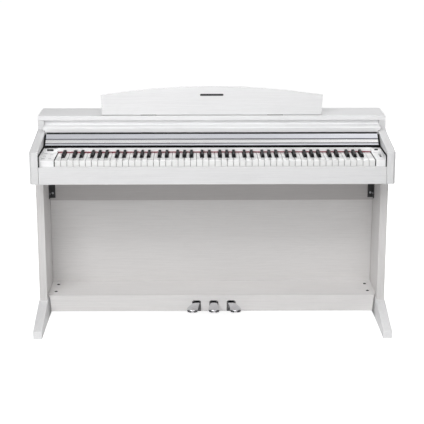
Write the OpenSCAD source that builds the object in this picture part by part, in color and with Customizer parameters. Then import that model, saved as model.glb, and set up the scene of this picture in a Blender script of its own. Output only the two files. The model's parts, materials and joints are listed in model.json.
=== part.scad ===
// Digital piano on its stand: an 88-key console with a sliding key cover, a folding
// music rest and three pedals. Lengths are in millimetres.
// Modules draw with y = 0 at the front faces of the white keys and z = 0 on the floor;
// placed() then moves them so that the origin is the centre of the footprint.
// The front of the piano faces -Y.

/* [Case] */
// Outside width over the two arms
case_w = 1384; // [1370:1:1386]
// Thickness of the arms beside the keyboard
arm_t = 33; // [30:1:34]
// Thickness of the upper cheeks above the arms
upper_cheek_t = 25; // [22:1:26]
// Distance that the arms stand forward of the key fronts
arm_front = 25; // [20:1:30]
// Height of the case underside above the floor
case_bottom = 602; // [590:1:604]
// Height of the arm's top at its front end
arm_front_top = 725.5; // [722:0.5:730]
// Height of the arm's top where the upper cheek begins
arm_back_top = 760.8; // [758:0.1:762]
// Height of the top lid's upper face
lid_top = 811; // [808:1:813]
// Thickness of the top lid
lid_t = 18; // [16:1:19]
// Distance of the case back behind the key fronts
case_back = 466; // [460:1:480]

/* [Keyboard] */
// Height of the white key tops above the floor
key_top = 690; // [686:1:690]
// Width of one white key with its gap, a seventh of the octave
white_pitch = 23.4; // [23.3:0.1:23.6]
// Gap between two neighbouring keys
key_gap = 1.4; // [0.8:0.1:1.5]
// Length of a white key that can be seen
white_visible = 149; // [147:1:150]
// Length of a white key's wide front part
white_head = 50; // [48:1:52]
// Height of a black key above the white keys
black_rise = 12; // [11:0.5:13]
// Width of a black key at its foot
black_w = 12.6; // [12:0.1:13]
// Distance that the keyboard sits to the right of the middle
key_offset = 9.5; // [8:0.5:11]

/* [Key cover] */
// Depth of the sliding cover board
cover_depth = 206; // [200:1:212]
// Thickness of the sliding cover board
cover_t = 6; // [5:0.5:6]
// Thickness of the aluminium front rail
rail_t = 8; // [7:0.5:9]

/* [Music rest] */
// Half the width of the rest at its top corners
rest_half_top = 444; // [430:1:450]
// Half the width of the rest at its foot
rest_half_foot = 436.5; // [425:0.5:440]
// Thickness of the rest
rest_t = 16; // [14:1:18]
// Angle that the rest leans back from upright
rest_lean = 15; // [12:1:18]
// Height of the rest's side edges along its face
rest_side_h = 73.5; // [70:0.5:80]
// Height of the rest's middle along its face
rest_mid_h = 108.6; // [100:0.1:110]

/* [Stand] */
// Thickness of a side leg
leg_t = 30; // [26:1:32]
// Thickness of a foot
foot_t = 35; // [33:1:38]
// Width over the two feet
feet_w = 1390; // [1388:1:1400]
// Distance that the feet stand forward of the key fronts
foot_front = 77; // [70:1:90]
// Height of the foot where the leg stands on it
foot_h = 87; // [80:1:90]
// Height of the foot's blunt front end
foot_nose_h = 32; // [28:1:36]
// Distance of the leg's front edge behind the key fronts
leg_front = 141; // [136:1:146]

/* [Pedals] */
// Distance that the middle pedal stands to the right of the middle
pedal_x = 7; // [0:1:10]
// Distance between two pedals
pedal_pitch = 70; // [68:1:74]
// Width of a pedal's tip
pedal_tip_w = 43; // [40:1:46]
// Width of a pedal's neck
pedal_neck_w = 26; // [24:1:28]
// Distance that a pedal stands out of the pedal board
pedal_reach = 80; // [76:1:84]
// Sideways sweep of the two outer pedals' tips
pedal_splay = 16; // [12:1:18]

/* [Hidden] */
$fn = 64;

WHITE_BOARD = "whitesmoke";
BLACK_PART = "#1b1b1d";
mid_y = (case_back - foot_front) / 2;
half_w = case_w / 2;
inner_x = half_w - arm_t;
upper_x = half_w - upper_cheek_t;
touch = 0.01;
seam = 0.8;

// Case heights and depths
bed_top = case_bottom + 20;
slip_t = 18;
slip_back = -5;
slip_top = case_bottom + 66;
upper_cheek_y = 278;
arm_chamfer = 8;
lid_bottom = lid_top - lid_t;
back_t = 12;
back_y = case_back - 4;
ledge_y = 237;
ledge_bottom = 752.6;
ledge_top = 773.4;
ledge_back = 310;
riser_t = 12;
block_top = key_top + 1.5;
slope_y = 140;
strip_y = 151;
strip_back = 165;
strip_top = 709;
block_back = 170;
slope_len = 18;
slope_angle = atan2(strip_top - block_top, slope_len);
block_profile = [
    [slip_back, bed_top], [slip_back, block_top], [slope_y, block_top],
    [slope_y + slope_len, strip_top], [block_back, strip_top], [block_back, bed_top]
];

// Connection plate: half width, heights, and the sockets' places and radii
jack_x = 90;
jack_z = [640, 680];
jack_panel_t = 2;
jack_rim = 5;
jack_depth = 15;
jack_box = 24;
power_x = -60;
power_r = 3;
phone_x = [20, 55];
phone_r = 3.25;

// Controls on the end blocks
display_x = -630;
display_w = 25;
display_h = 10;
display_t = 1.6;
display_rise = 0.3;
button_w = 13;
button_d = 5;
button_h = 7;
button_rise = 1.4;
button_clear = 0.35;
button_room = 4;
button_places = [[-645, 30], [-645, 75], [-645, 120], [-619, 30], [-619, 97]];
power_button_x = 640;
power_button_w = 14;
power_button_d = 6;
power_button_h = 8;
power_button_rise = 1.2;
knob_x = 646;
knob_y = 80;
knob_travel = 22;
knob_w = 10;
knob_d = 8;
knob_h = 5;
knob_stem_w = 2.2;
knob_slot_w = 3;
knob_slot_depth = 10;

// Keyboard
white_count = 52;
keys_left = key_offset - white_count * white_pitch / 2;
keys_right = keys_left + white_count * white_pitch;
block_gap = 2.4;
key_body_h = 14;
key_bottom = key_top - key_body_h;
key_skirt_h = 25;
key_skirt_t = 6;
key_pivot_y = 220;
key_back = 232;
pivot_r = 3;
pivot_clear = 0.2;
C4 = 23;
chassis_front = 16;
chassis_back = 236;
chassis_t = 4;
stop_top = 662;
stop_y = [24, 44];
switch_y = [118, 142];
// Distance of each black key from the joint between its two white keys, by letter from C
BLACK_SHIFT = [-2.35, 2.35, undef, -3.36, 0, 3.36, undef];

// Electronics
speaker_x = 480;
speaker_y = 330;
speaker_r = 52;
board_w = 260;
board_y_span = [300, 420];
standoff_h = 12;
board_t = 1.6;

// Key cover
cover_x = inner_x - 3;
cap_t = 5;
rail_foot = [160, 716.5];
rail_head = [208, 752];
rail_len = norm(rail_head - rail_foot);
rail_angle = atan2(rail_head[1] - rail_foot[1], rail_head[0] - rail_foot[0]);
cover_z = 744;
cover_y = 214;
flange_y = [203, 236];
flange_t = 5;
groove_depth = 2.5;
groove_places = [[7.8, 13.4], [29.1, 35.9]];
track_t = 4;
track_w = 5;
track_clear = 0.3;
track_front = -20;
track_top = 712.5;
runner_x = inner_x - 13;
runner_y = 216;
runner_back = 440;

// Music rest
rest_pivot = [310.5, lid_top + 4];
rest_bottom = lid_top + 2;
rest_radius = (rest_half_top ^ 2 + (rest_mid_h - rest_side_h) ^ 2) / (2 * (rest_mid_h - rest_side_h));
hinge_x = 252;
hinge_len = 63;
knuckle_r = 3;
hinge_pin_r = 1.2;
leaf_t = 1.5;
moving_leaf_w = 17;
fixed_leaf_w = 22;

// Stand
leg_back = 440;
foot_back = 460;
foot_step = 17;
leg_in = half_w - leg_t;
foot_in = feet_w / 2 - foot_t - 0.5;
panel_x = leg_in - 0.5;
panel_y = 359;
panel_t = 15;
panel_bottom = 60;
rail_board_t = 18;
rail_board_bottom = 452;
bracket_w = 24;
bracket_t = 3;
bracket_z = [463, 585];
shelf_y = 183;
shelf_top = 100;
shelf_t = 18;
board_y = 165;
board_bottom = 32;

// Pedals
pedal_pivot = [300, 65];
lever_z = [58, 72];
tip_z = [53, 62];
tip_toe = [10, 50];
heel_len = 30;
heel_top = 64;
ear_t = 4;
ear_half = 15;
frame_plate_y = [276, 338];
frame_plate_t = 3;
tray_bottom = 29;
tray_lip = 3;
axle_r = 4;
axle_clear = 0.06;
slot_w = 35;
slot_top = 77;
slot_r = 8;
frame_x = 104;
spring_r = 6;
wire_r = 1;
spring_turns = 4;
spring_z = [67.4, 77.8];
spring_steps = 14;
spring_sides = 6;

// Screws
screw_r = 2;
screw_head_r = 4.6;
shelf_head_r = 6.5;
screw_head_h = 2.4;
screw_len = 14;
shelf_screws = [[634, 218], [634, 312]];
bracket_screw_z = [483, 565];

// ---- Helpers ----------------------------------------------------------------

// Moves a shape from the key-front frame to the part's frame.
module placed() {
    translate([0, -mid_y, 0]) children();
}

// A box between two corners.
module slab(x0, x1, y0, y1, z0, z1) {
    translate([x0, y0, z0]) cube([x1 - x0, y1 - y0, z1 - z0]);
}

// A side profile drawn in y and z, extruded along X.
module across(x0, x1) {
    translate([x0, 0, 0]) rotate([90, 0, 90]) linear_extrude(x1 - x0) children();
}

// A front profile drawn in x and z, extruded along Y.
module along(y0, y1) {
    translate([0, y1, 0]) rotate([90, 0, 0]) linear_extrude(y1 - y0) children();
}

// A plan drawn in x and y, extruded along Z.
module upward(z0, z1) {
    translate([0, 0, z0]) linear_extrude(z1 - z0) children();
}

// A cylinder along X.
module bar_x(x0, x1, y, z, r) {
    translate([x0, y, z]) rotate([0, 90, 0]) cylinder(h = x1 - x0, r = r);
}

module on_both_sides() {
    children();
    mirror([1, 0, 0]) children();
}

// ---- Case -------------------------------------------------------------------

module cheek_right() {
    arm_y = -arm_front;
    intersection() {
        union() {
            across(inner_x, half_w) polygon([
                [arm_y, case_bottom], [arm_y, arm_front_top], [upper_cheek_y, arm_back_top],
                [case_back, arm_back_top], [case_back, case_bottom]
            ]);
            slab(upper_x, half_w, upper_cheek_y, case_back, arm_back_top - 1, lid_bottom);
        }
        upward(case_bottom, lid_top) polygon([
            [inner_x, arm_y], [half_w - arm_chamfer, arm_y], [half_w, arm_y + arm_chamfer],
            [half_w, case_back], [inner_x, case_back]
        ]);
    }
}

module right_cheek() {
    color(WHITE_BOARD) placed() cheek_right();
}

module left_cheek() {
    color(WHITE_BOARD) placed() mirror([1, 0, 0]) cheek_right();
}

// Floor of the case, with an opening under each loudspeaker.
module keybed() {
    color(WHITE_BOARD) placed() difference() {
        slab(-inner_x, inner_x, slip_back, back_y - back_t, case_bottom, bed_top);
        on_both_sides() translate([speaker_x, speaker_y, case_bottom - 1])
            cylinder(h = 30, r = speaker_r);
    }
}

module key_slip() {
    color(WHITE_BOARD) placed()
        slab(-inner_x + seam, inner_x - seam, slip_back - slip_t, slip_back, case_bottom, slip_top);
}

// Lid with a rounded front edge.
module top_lid() {
    edge_r = 2.5;
    color(WHITE_BOARD) placed() across(-half_w, half_w) union() {
        translate([upper_cheek_y + edge_r, lid_bottom]) square([case_back - upper_cheek_y - edge_r, lid_t]);
        translate([upper_cheek_y, lid_bottom + edge_r]) square([edge_r + 1, lid_t - 2 * edge_r]);
        for (z = [lid_bottom + edge_r, lid_top - edge_r])
            translate([upper_cheek_y + edge_r, z]) circle(r = edge_r);
    }
}

// Board with an eased nose that covers the front of the cover's slot, with its upright riser.
module ledge_profile() {
    top_r = 5;
    low_r = 2;
    tall = ledge_top - ledge_bottom;
    translate([ledge_y + top_r, ledge_top - top_r]) circle(r = top_r);
    translate([ledge_y + low_r, ledge_bottom + low_r]) circle(r = low_r);
    translate([ledge_y, ledge_bottom + low_r]) square([top_r, tall - low_r - top_r]);
    translate([ledge_y + low_r, ledge_bottom]) square([top_r, tall - top_r]);
    translate([ledge_y + top_r, ledge_bottom]) square([ledge_back - ledge_y - top_r, tall]);
    translate([ledge_back - riser_t, ledge_top - 1]) square([riser_t, lid_bottom - ledge_top + 1]);
}

module front_ledge() {
    color(WHITE_BOARD) placed() union() {
        across(-inner_x, inner_x) ledge_profile();
        intersection() {
            across(-upper_x, upper_x) ledge_profile();
            slab(-upper_x, upper_x, 0, case_back, arm_back_top + 0.4, lid_top);
        }
    }
}

// Rear board, stepped out above the arms, with an opening for the connections.
module cabinet_back() {
    color(WHITE_BOARD) placed() difference() {
        union() {
            slab(-inner_x, inner_x, back_y - back_t, back_y, case_bottom, lid_bottom);
            slab(-upper_x, upper_x, back_y - back_t, back_y, arm_back_top, lid_bottom);
        }
        slab(-jack_x + jack_rim, jack_x - jack_rim, back_y - back_t - 1, back_y + 1,
             jack_z[0] + jack_rim - 1, jack_z[1] - jack_rim + 1);
    }
}

// The part of the connection plate that stands in the cabinet back's opening.
module jack_box(y0, y1) {
    inset = jack_rim + 0.2;
    slab(-jack_x + inset, jack_x - inset, y0, y1, jack_z[0] + inset - 1, jack_z[1] - inset + 1);
}

// Plate with the power inlet and two headphone sockets, and the contact block behind them.
module jack_panel() {
    jack_mid = (jack_z[0] + jack_z[1]) / 2;
    face_y = back_y + jack_panel_t;
    color(BLACK_PART) placed() union() {
        difference() {
            union() {
                slab(-jack_x, jack_x, back_y, face_y, jack_z[0], jack_z[1]);
                jack_box(face_y - jack_depth, back_y + 1);
            }
            for (socket = [[power_x, power_r], [phone_x[0], phone_r], [phone_x[1], phone_r]])
                translate([socket[0], face_y - jack_depth - 1, jack_mid])
                    rotate([-90, 0, 0]) cylinder(h = jack_depth + 2, r = socket[1]);
        }
        jack_box(back_y - jack_box, face_y - jack_depth - 0.2);
    }
}

// ---- Control blocks beside the keys -----------------------------------------

// Places children on the middle of a block's rear slope, with their +Z square to it.
module on_slope(x) {
    translate([x, slope_y + slope_len / 2, (block_top + strip_top) / 2])
        rotate([slope_angle, 0, 0]) children();
}

module display_plate() {
    on_slope(display_x) translate([-display_w / 2, -display_h / 2, -display_t])
        cube([display_w, display_h, display_t + display_rise]);
}

// A rounded push button, long side across the piano.
module button_shape(grow, drop) {
    upward(block_top + button_rise - button_h - drop, block_top + button_rise + grow) union() {
        square([button_w - button_d, button_d + 2 * grow], center = true);
        for (side = [-1, 1]) translate([side * (button_w - button_d) / 2, 0])
            circle(r = button_d / 2 + grow);
    }
}

module panel_button(n) {
    color("gainsboro") placed() translate(button_places[n - 1]) button_shape(0, 0);
}

module panel_button_1() { panel_button(1); }
module panel_button_2() { panel_button(2); }
module panel_button_3() { panel_button(3); }
module panel_button_4() { panel_button(4); }
module panel_button_5() { panel_button(5); }

// Room beside a block for the cover's guide strip.
module track_notch() {
    on_both_sides() slab(inner_x - track_t - track_clear, inner_x + 1, slope_y, block_back + 1,
                         track_top - track_w - track_clear, strip_top + 1);
}

module left_end_block() {
    color(WHITE_BOARD) placed() difference() {
        across(-inner_x, keys_left - block_gap) polygon(block_profile);
        track_notch();
        for (p = button_places) translate(p) button_shape(button_clear, button_room);
        display_plate();
    }
}

module display_window() {
    color(BLACK_PART) placed() display_plate();
}

module power_shape(grow, drop) {
    on_slope(power_button_x) translate([0, 0, power_button_rise - power_button_h - drop])
        linear_extrude(power_button_h + drop + grow) union() {
            square([power_button_w - power_button_d, power_button_d + 2 * grow], center = true);
            for (side = [-1, 1]) translate([side * (power_button_w - power_button_d) / 2, 0])
                circle(r = power_button_d / 2 + grow);
        }
}

module power_button() {
    color(BLACK_PART) placed() power_shape(0, 0);
}

// Slider knob with the stem that runs in the slot.
module volume_knob() {
    color("gainsboro") placed() translate([knob_x, knob_y, block_top]) union() {
        translate([0, 0, 0.4]) linear_extrude(knob_h) square([knob_w, knob_d], center = true);
        translate([-knob_stem_w / 2, -knob_d / 2, 1 - knob_slot_depth])
            cube([knob_stem_w, knob_d, knob_slot_depth]);
    }
}

module right_end_block() {
    reach = knob_travel + knob_d / 2 + 1;
    color(WHITE_BOARD) placed() difference() {
        across(keys_right + block_gap, inner_x) polygon(block_profile);
        track_notch();
        slab(knob_x - knob_slot_w / 2, knob_x + knob_slot_w / 2, knob_y - reach, knob_y + reach,
             block_top - knob_slot_depth, block_top + 1);
        power_shape(button_clear, button_room);
    }
}

// White strip that closes the gap behind the keys.
module name_strip() {
    color(WHITE_BOARD) placed()
        slab(keys_left - block_gap, keys_right + block_gap, strip_y, strip_back, key_top + 1, strip_top);
}

// ---- Keys -------------------------------------------------------------------

// Letter of a white key counted from the lowest, with C = 0.
function letter(i) = (i + 5) % 7;
function has_black(i) = i >= 0 && i < white_count - 1 && !is_undef(BLACK_SHIFT[letter(i)]);
function white_left(i) = keys_left + i * white_pitch;
function black_x(i) = white_left(i + 1) + BLACK_SHIFT[letter(i)];

// Groove under each key that sits on the chassis's round pivot edge.
module pivot_groove(x0, x1) {
    bar_x(x0 - 1, x1 + 1, key_pivot_y, key_bottom, pivot_r + pivot_clear);
}

module white_key(i) {
    left = white_left(i) + key_gap / 2;
    right = white_left(i + 1) - key_gap / 2;
    tail_left = has_black(i - 1) ? black_x(i - 1) + black_w / 2 + key_gap : left;
    tail_right = has_black(i) ? black_x(i) - black_w / 2 - key_gap : right;
    difference() {
        union() {
            slab(left, right, 0, white_head, key_bottom, key_top);
            slab(left, right, 0, key_skirt_t, key_top - key_skirt_h, key_top);
            slab(tail_left, tail_right, white_head - 1, key_back, key_bottom, key_top);
        }
        pivot_groove(left, right);
    }
}

// The black key to the right of a white key.
module black_key(i) {
    x = black_x(i);
    cap_back = white_visible - 3;
    top_inset = 1.5;
    nose = 5;
    nose_foot = key_top + 2;
    difference() {
        union() {
            slab(x - black_w / 2, x + black_w / 2, white_head + 1, key_back, key_bottom, key_top);
            intersection() {
                along(0, cap_back) translate([x, 0]) polygon([
                    [-black_w / 2, key_top - 1], [-black_w / 2 + top_inset, key_top + black_rise],
                    [black_w / 2 - top_inset, key_top + black_rise], [black_w / 2, key_top - 1]
                ]);
                across(x - black_w, x + black_w) polygon([
                    [white_head + 1, key_top - 1], [white_head + 1, nose_foot],
                    [white_head + nose, key_top + black_rise], [cap_back, key_top + black_rise],
                    [cap_back, key_top - 1]
                ]);
            }
        }
        pivot_groove(x - black_w, x + black_w);
    }
}

module white_group(from, to) {
    color("white") placed() for (i = [from : to]) white_key(i);
}

module black_group(from, to) {
    color(BLACK_PART) placed() for (i = [from : to]) if (has_black(i)) black_key(i);
}

module key_c4() { white_group(C4, C4); }
module key_cs4() { black_group(C4, C4); }
module key_d4() { white_group(C4 + 1, C4 + 1); }
module key_ds4() { black_group(C4 + 1, C4 + 1); }
module key_e4() { white_group(C4 + 2, C4 + 2); }
module key_f4() { white_group(C4 + 3, C4 + 3); }
module key_fs4() { black_group(C4 + 3, C4 + 3); }
module key_g4() { white_group(C4 + 4, C4 + 4); }
module key_gs4() { black_group(C4 + 4, C4 + 4); }
module key_a4() { white_group(C4 + 5, C4 + 5); }
module key_as4() { black_group(C4 + 5, C4 + 5); }
module key_b4() { white_group(C4 + 6, C4 + 6); }
module white_keys_bass() { white_group(0, C4 - 1); }
module white_keys_treble() { white_group(C4 + 7, white_count - 1); }
module black_keys_bass() { black_group(0, C4 - 1); }
module black_keys_treble() { black_group(C4 + 7, white_count - 2); }

// Key frame: a floor, a front stop rail, a switch rail and the rear wall with the pivot edge.
module key_chassis() {
    floor_top = bed_top + chassis_t;
    color("dimgray") placed() union() {
        slab(keys_left, keys_right, chassis_front, chassis_back, bed_top, floor_top);
        slab(keys_left, keys_right, stop_y[0], stop_y[1], bed_top, stop_top);
        slab(keys_left, keys_right, switch_y[0], switch_y[1], bed_top, stop_top + 2);
        slab(keys_left, keys_right, key_pivot_y - 2, key_pivot_y + 2, bed_top, key_bottom);
        bar_x(keys_left, keys_right, key_pivot_y, key_bottom, pivot_r);
    }
}

// ---- Electronics ------------------------------------------------------------

// Two downward loudspeakers, each a flange, a tapered basket and a magnet, with a ringed
// grille that closes its opening in the keybed.
module speakers() {
    flange_h = 4;
    basket_h = 30;
    magnet_r = 36;
    bed_t = bed_top - case_bottom;
    ring_pitch = 8;
    color("#303033") placed() on_both_sides() translate([speaker_x, speaker_y, bed_top]) union() {
        cylinder(h = flange_h, r = speaker_r + 9);
        translate([0, 0, flange_h]) cylinder(h = basket_h, r1 = speaker_r, r2 = magnet_r - 4);
        translate([0, 0, flange_h + basket_h]) cylinder(h = 16, r = magnet_r);
        difference() {
            translate([0, 0, 1 - bed_t]) cylinder(h = bed_t, r = speaker_r - 0.2);
            for (r = [ring_pitch : ring_pitch : speaker_r - ring_pitch])
                translate([0, 0, -bed_t]) difference() {
                    cylinder(h = 4, r = r);
                    translate([0, 0, -1]) cylinder(h = 6, r = r - ring_pitch / 2);
                }
        }
    }
}

// Circuit board on four standoffs, with its largest chip and capacitors.
module main_board() {
    board_z = bed_top + standoff_h;
    parts_z = board_z + board_t;
    mid = (board_y_span[0] + board_y_span[1]) / 2;
    color("seagreen") placed() union() {
        slab(-board_w / 2, board_w / 2, board_y_span[0], board_y_span[1], board_z, parts_z);
        for (x = [-1, 1], y = [board_y_span[0] + 10, board_y_span[1] - 10])
            translate([x * (board_w / 2 - 10), y, bed_top]) cylinder(h = standoff_h, r = 3);
        slab(-20, 20, mid - 20, mid + 20, parts_z, parts_z + 2.4);
        for (x = [70, 90, 110]) translate([x, mid - 15, parts_z]) cylinder(h = 20, r = 7);
    }
}

// ---- Sliding key cover ------------------------------------------------------

// Leaning front of the cover: an outline whose foot is cut level.
module rail_outline(depth, proud) {
    intersection() {
        translate(rail_foot) rotate(rail_angle) translate([0, -depth]) square([rail_len, depth + proud]);
        translate([rail_foot[0] - rail_len, rail_foot[1]]) square([2 * rail_len, rail_len]);
    }
}

// Aluminium rail with two long grooves and the rear flange that carries the board.
module cover_rail() {
    rail_x = cover_x - cap_t;
    color("silver") placed() union() {
        across(-rail_x, rail_x) difference() {
            rail_outline(rail_t, 0);
            for (g = groove_places) translate(rail_foot) rotate(rail_angle)
                translate([g[0], -groove_depth]) square([g[1] - g[0], groove_depth + 1]);
        }
        slab(-runner_x + 2, runner_x - 2, flange_y[0], flange_y[1], cover_z - flange_t, cover_z);
    }
}

module cover_end_caps() {
    color(BLACK_PART) placed() on_both_sides() across(cover_x - cap_t, cover_x) rail_outline(rail_t, 0);
}

module cover_board() {
    color(WHITE_BOARD) placed()
        slab(-cover_x, cover_x, cover_y, cover_y + cover_depth, cover_z, cover_z + cover_t);
}

// Runners for the cover board and the black guide strips on the arms' inner faces.
module cover_tracks() {
    strip_x = inner_x - track_t;
    strip_bottom = track_top - track_w;
    color(BLACK_PART) placed() on_both_sides() union() {
        slab(strip_x, inner_x, track_front, runner_y + 1, strip_bottom, track_top);
        slab(strip_x, inner_x, track_front, track_front + track_w, slip_top, track_top);
        slab(strip_x, inner_x, runner_y, runner_y + 10, strip_bottom, cover_z - 2);
        slab(runner_x, inner_x, runner_y, runner_back, cover_z - flange_t - 0.5, cover_z - 0.5);
    }
}

// ---- Music rest -------------------------------------------------------------

// Places a rest drawn upright, with its rear face on y = 0 and its pivot on the origin.
module leaning() {
    translate([0, rest_pivot[0], rest_pivot[1]]) rotate([-rest_lean, 0, 0]) children();
}

// Front outline of the rest: straight sides and an arched top.
module rest_outline() {
    half_angle = asin(rest_half_top / rest_radius);
    steps = 48;
    polygon(concat(
        [[rest_half_foot, -12], [-rest_half_foot, -12]],
        [for (k = [0 : steps]) let (a = half_angle * (2 * k / steps - 1))
            [rest_radius * sin(a), rest_mid_h - rest_radius * (1 - cos(a))]]
    ));
}

module music_rest() {
    notch = knuckle_r + 0.8;
    notch_x = hinge_len / 2 + 1;
    color(WHITE_BOARD) placed() difference() {
        intersection() {
            leaning() along(-rest_t, 0) rest_outline();
            slab(-half_w, half_w, 0, case_back, rest_bottom, lid_top + 200);
        }
        on_both_sides() slab(hinge_x - notch_x, hinge_x + notch_x, rest_pivot[0] - notch,
                             rest_pivot[0] + 6, lid_top, rest_pivot[1] + notch);
    }
}

// Moving hinge leaves under the foot of the rest, each with its middle knuckle.
module rest_hinge_leaves() {
    knuckle = hinge_len / 3;
    middle_half = knuckle / 2 - 0.3;
    knuckle_front = rest_pivot[0] - knuckle_r;
    color(BLACK_PART) placed() on_both_sides() difference() {
        union() {
            slab(hinge_x - hinge_len / 2, hinge_x + hinge_len / 2, rest_pivot[0] - moving_leaf_w,
                 knuckle_front - 0.4, rest_bottom - leaf_t, rest_bottom);
            slab(hinge_x - middle_half, hinge_x + middle_half, knuckle_front - 0.5,
                 rest_pivot[0], rest_bottom - leaf_t, rest_bottom);
            bar_x(hinge_x - middle_half, hinge_x + middle_half, rest_pivot[0], rest_pivot[1], knuckle_r);
        }
        bar_x(hinge_x - hinge_len, hinge_x + hinge_len, rest_pivot[0], rest_pivot[1],
              hinge_pin_r + axle_clear);
    }
}

// Fixed leaves on the lid with their outer knuckles and the hinge pins.
module rest_hinge_bases() {
    knuckle = hinge_len / 3;
    knuckle_back = rest_pivot[0] + knuckle_r;
    color(BLACK_PART) placed() on_both_sides() union() {
        for (side = [-1, 1]) translate([hinge_x + side * knuckle, 0, 0]) {
            bar_x(-knuckle / 2, knuckle / 2, rest_pivot[0], rest_pivot[1], knuckle_r);
            slab(-knuckle / 2, knuckle / 2, rest_pivot[0], knuckle_back, lid_top, rest_pivot[1] - 1);
        }
        slab(hinge_x - hinge_len / 2, hinge_x + hinge_len / 2, knuckle_back - 0.5,
             rest_pivot[0] + fixed_leaf_w, lid_top, lid_top + leaf_t);
        bar_x(hinge_x - hinge_len / 2, hinge_x + hinge_len / 2, rest_pivot[0], rest_pivot[1], hinge_pin_r);
    }
}

// ---- Stand ------------------------------------------------------------------

// One screw with its head above z = 0 and its shank along -Z.
module screw(head_r) {
    cylinder(h = screw_head_h, r = head_r);
    translate([0, 0, -screw_len]) cylinder(h = screw_len + 0.5, r = screw_r);
}

// The two screws on each side of the shelf.
module at_shelf_screws() {
    on_both_sides() for (p = shelf_screws) translate([p[0], p[1], shelf_top]) children();
}

// The four screws in each corner bracket.
module at_bracket_screws() {
    on_both_sides() for (z = bracket_screw_z) {
        translate([leg_in - bracket_w / 2 - 1, panel_y - rail_board_t - bracket_t, z])
            rotate([90, 0, 0]) children();
        translate([leg_in - bracket_t, panel_y - rail_board_t - bracket_w / 2 - 2, z])
            rotate([0, -90, 0]) children();
    }
}

module screw_hole() {
    translate([0, 0, -screw_len - 0.5]) cylinder(h = screw_len + 1, r = screw_r);
}

module screw_holes() {
    at_shelf_screws() screw_hole();
    at_bracket_screws() screw_hole();
}

module screws() {
    color("#3a3a3c") placed() union() {
        at_shelf_screws() screw(shelf_head_r);
        at_bracket_screws() screw(screw_head_r);
    }
}

module leg_right() {
    difference() {
        slab(leg_in, half_w, leg_front, leg_back, foot_h, case_bottom);
        screw_holes();
    }
}

module right_leg() {
    color(WHITE_BOARD) placed() leg_right();
}

module left_leg() {
    color(WHITE_BOARD) placed() mirror([1, 0, 0]) leg_right();
}

module foot_right() {
    across(feet_w / 2 - foot_t, feet_w / 2) polygon([
        [-foot_front, 0], [-foot_front, foot_nose_h], [leg_front, foot_h],
        [leg_back, foot_h], [foot_back, foot_h - foot_step], [foot_back, 0]
    ]);
}

module right_foot() {
    color(WHITE_BOARD) placed() foot_right();
}

module left_foot() {
    color(WHITE_BOARD) placed() mirror([1, 0, 0]) foot_right();
}

// The panel and shelf stop short of the feet, which are wider than the legs.
module back_panel() {
    color(WHITE_BOARD) placed() union() {
        slab(-panel_x, panel_x, panel_y, panel_y + panel_t, foot_h + 1, case_bottom);
        slab(-foot_in, foot_in, panel_y, panel_y + panel_t, panel_bottom, foot_h + 2);
    }
}

module upper_rail() {
    color(WHITE_BOARD) placed() difference() {
        slab(-panel_x, panel_x, panel_y - rail_board_t, panel_y, rail_board_bottom, case_bottom);
        screw_holes();
    }
}

module corner_brackets() {
    front_y = panel_y - rail_board_t;
    color(BLACK_PART) placed() difference() {
        on_both_sides() union() {
            slab(leg_in - bracket_w, leg_in, front_y - bracket_t, front_y, bracket_z[0], bracket_z[1]);
            slab(leg_in - bracket_t, leg_in, front_y - bracket_w, front_y, bracket_z[0], bracket_z[1]);
        }
        screw_holes();
    }
}

module pedal_shelf() {
    color(WHITE_BOARD) placed() difference() {
        union() {
            slab(-panel_x, panel_x, shelf_y, panel_y, foot_h + 1, shelf_top);
            slab(-foot_in, foot_in, shelf_y, panel_y, shelf_top - shelf_t, foot_h + 2);
        }
        screw_holes();
    }
}

// Upright front of the pedal box, narrower at its foot, with a slot for each pedal.
module pedal_front_board() {
    top_x = panel_x - 7;
    foot_x = top_x - 6;
    color(WHITE_BOARD) placed() along(board_y, shelf_y) difference() {
        polygon([[-foot_x, board_bottom], [-top_x, shelf_top], [top_x, shelf_top], [foot_x, board_bottom]]);
        for (n = [-1 : 1]) translate([pedal_x + n * pedal_pitch, 0]) pedal_slot();
    }
}

// Slot outline, open below and rounded at its top corners.
module pedal_slot() {
    translate([-slot_w / 2, board_bottom - 1]) square([slot_w, slot_top - slot_r - board_bottom + 1]);
    translate([-slot_w / 2 + slot_r, slot_top - slot_r - 1]) square([slot_w - 2 * slot_r, slot_r + 1]);
    for (side = [-1, 1]) translate([side * (slot_w / 2 - slot_r), slot_top - slot_r]) circle(r = slot_r);
}

// ---- Pedals -----------------------------------------------------------------

function smooth(t) = t * t * (3 - 2 * t);
// Share of the flare reached a distance out from the pedal board, from 0 to 1.
function flare(out) = smooth(min(1, max(0, out / (pedal_reach - 22))));
function tip_half(out) = let (
    straight = (pedal_neck_w + (pedal_tip_w - pedal_neck_w) * flare(out)) / 2,
    round = max(0, (out - pedal_reach + 14) / 14)
) straight * sqrt(max(0.02, 1 - round * round));

// Plan of the part that stands out of the board; side is -1, 0 or 1 for the sweep.
module tip_plan(side) {
    steps = 20;
    outs = [for (k = [0 : steps]) pedal_reach * k / steps];
    polygon(concat(
        [for (out = outs) [side * pedal_splay * flare(out) - tip_half(out), board_y - out]],
        [for (k = [steps : -1 : 0]) let (out = outs[k])
            [side * pedal_splay * flare(out) + tip_half(out), board_y - out]]
    ));
}

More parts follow.
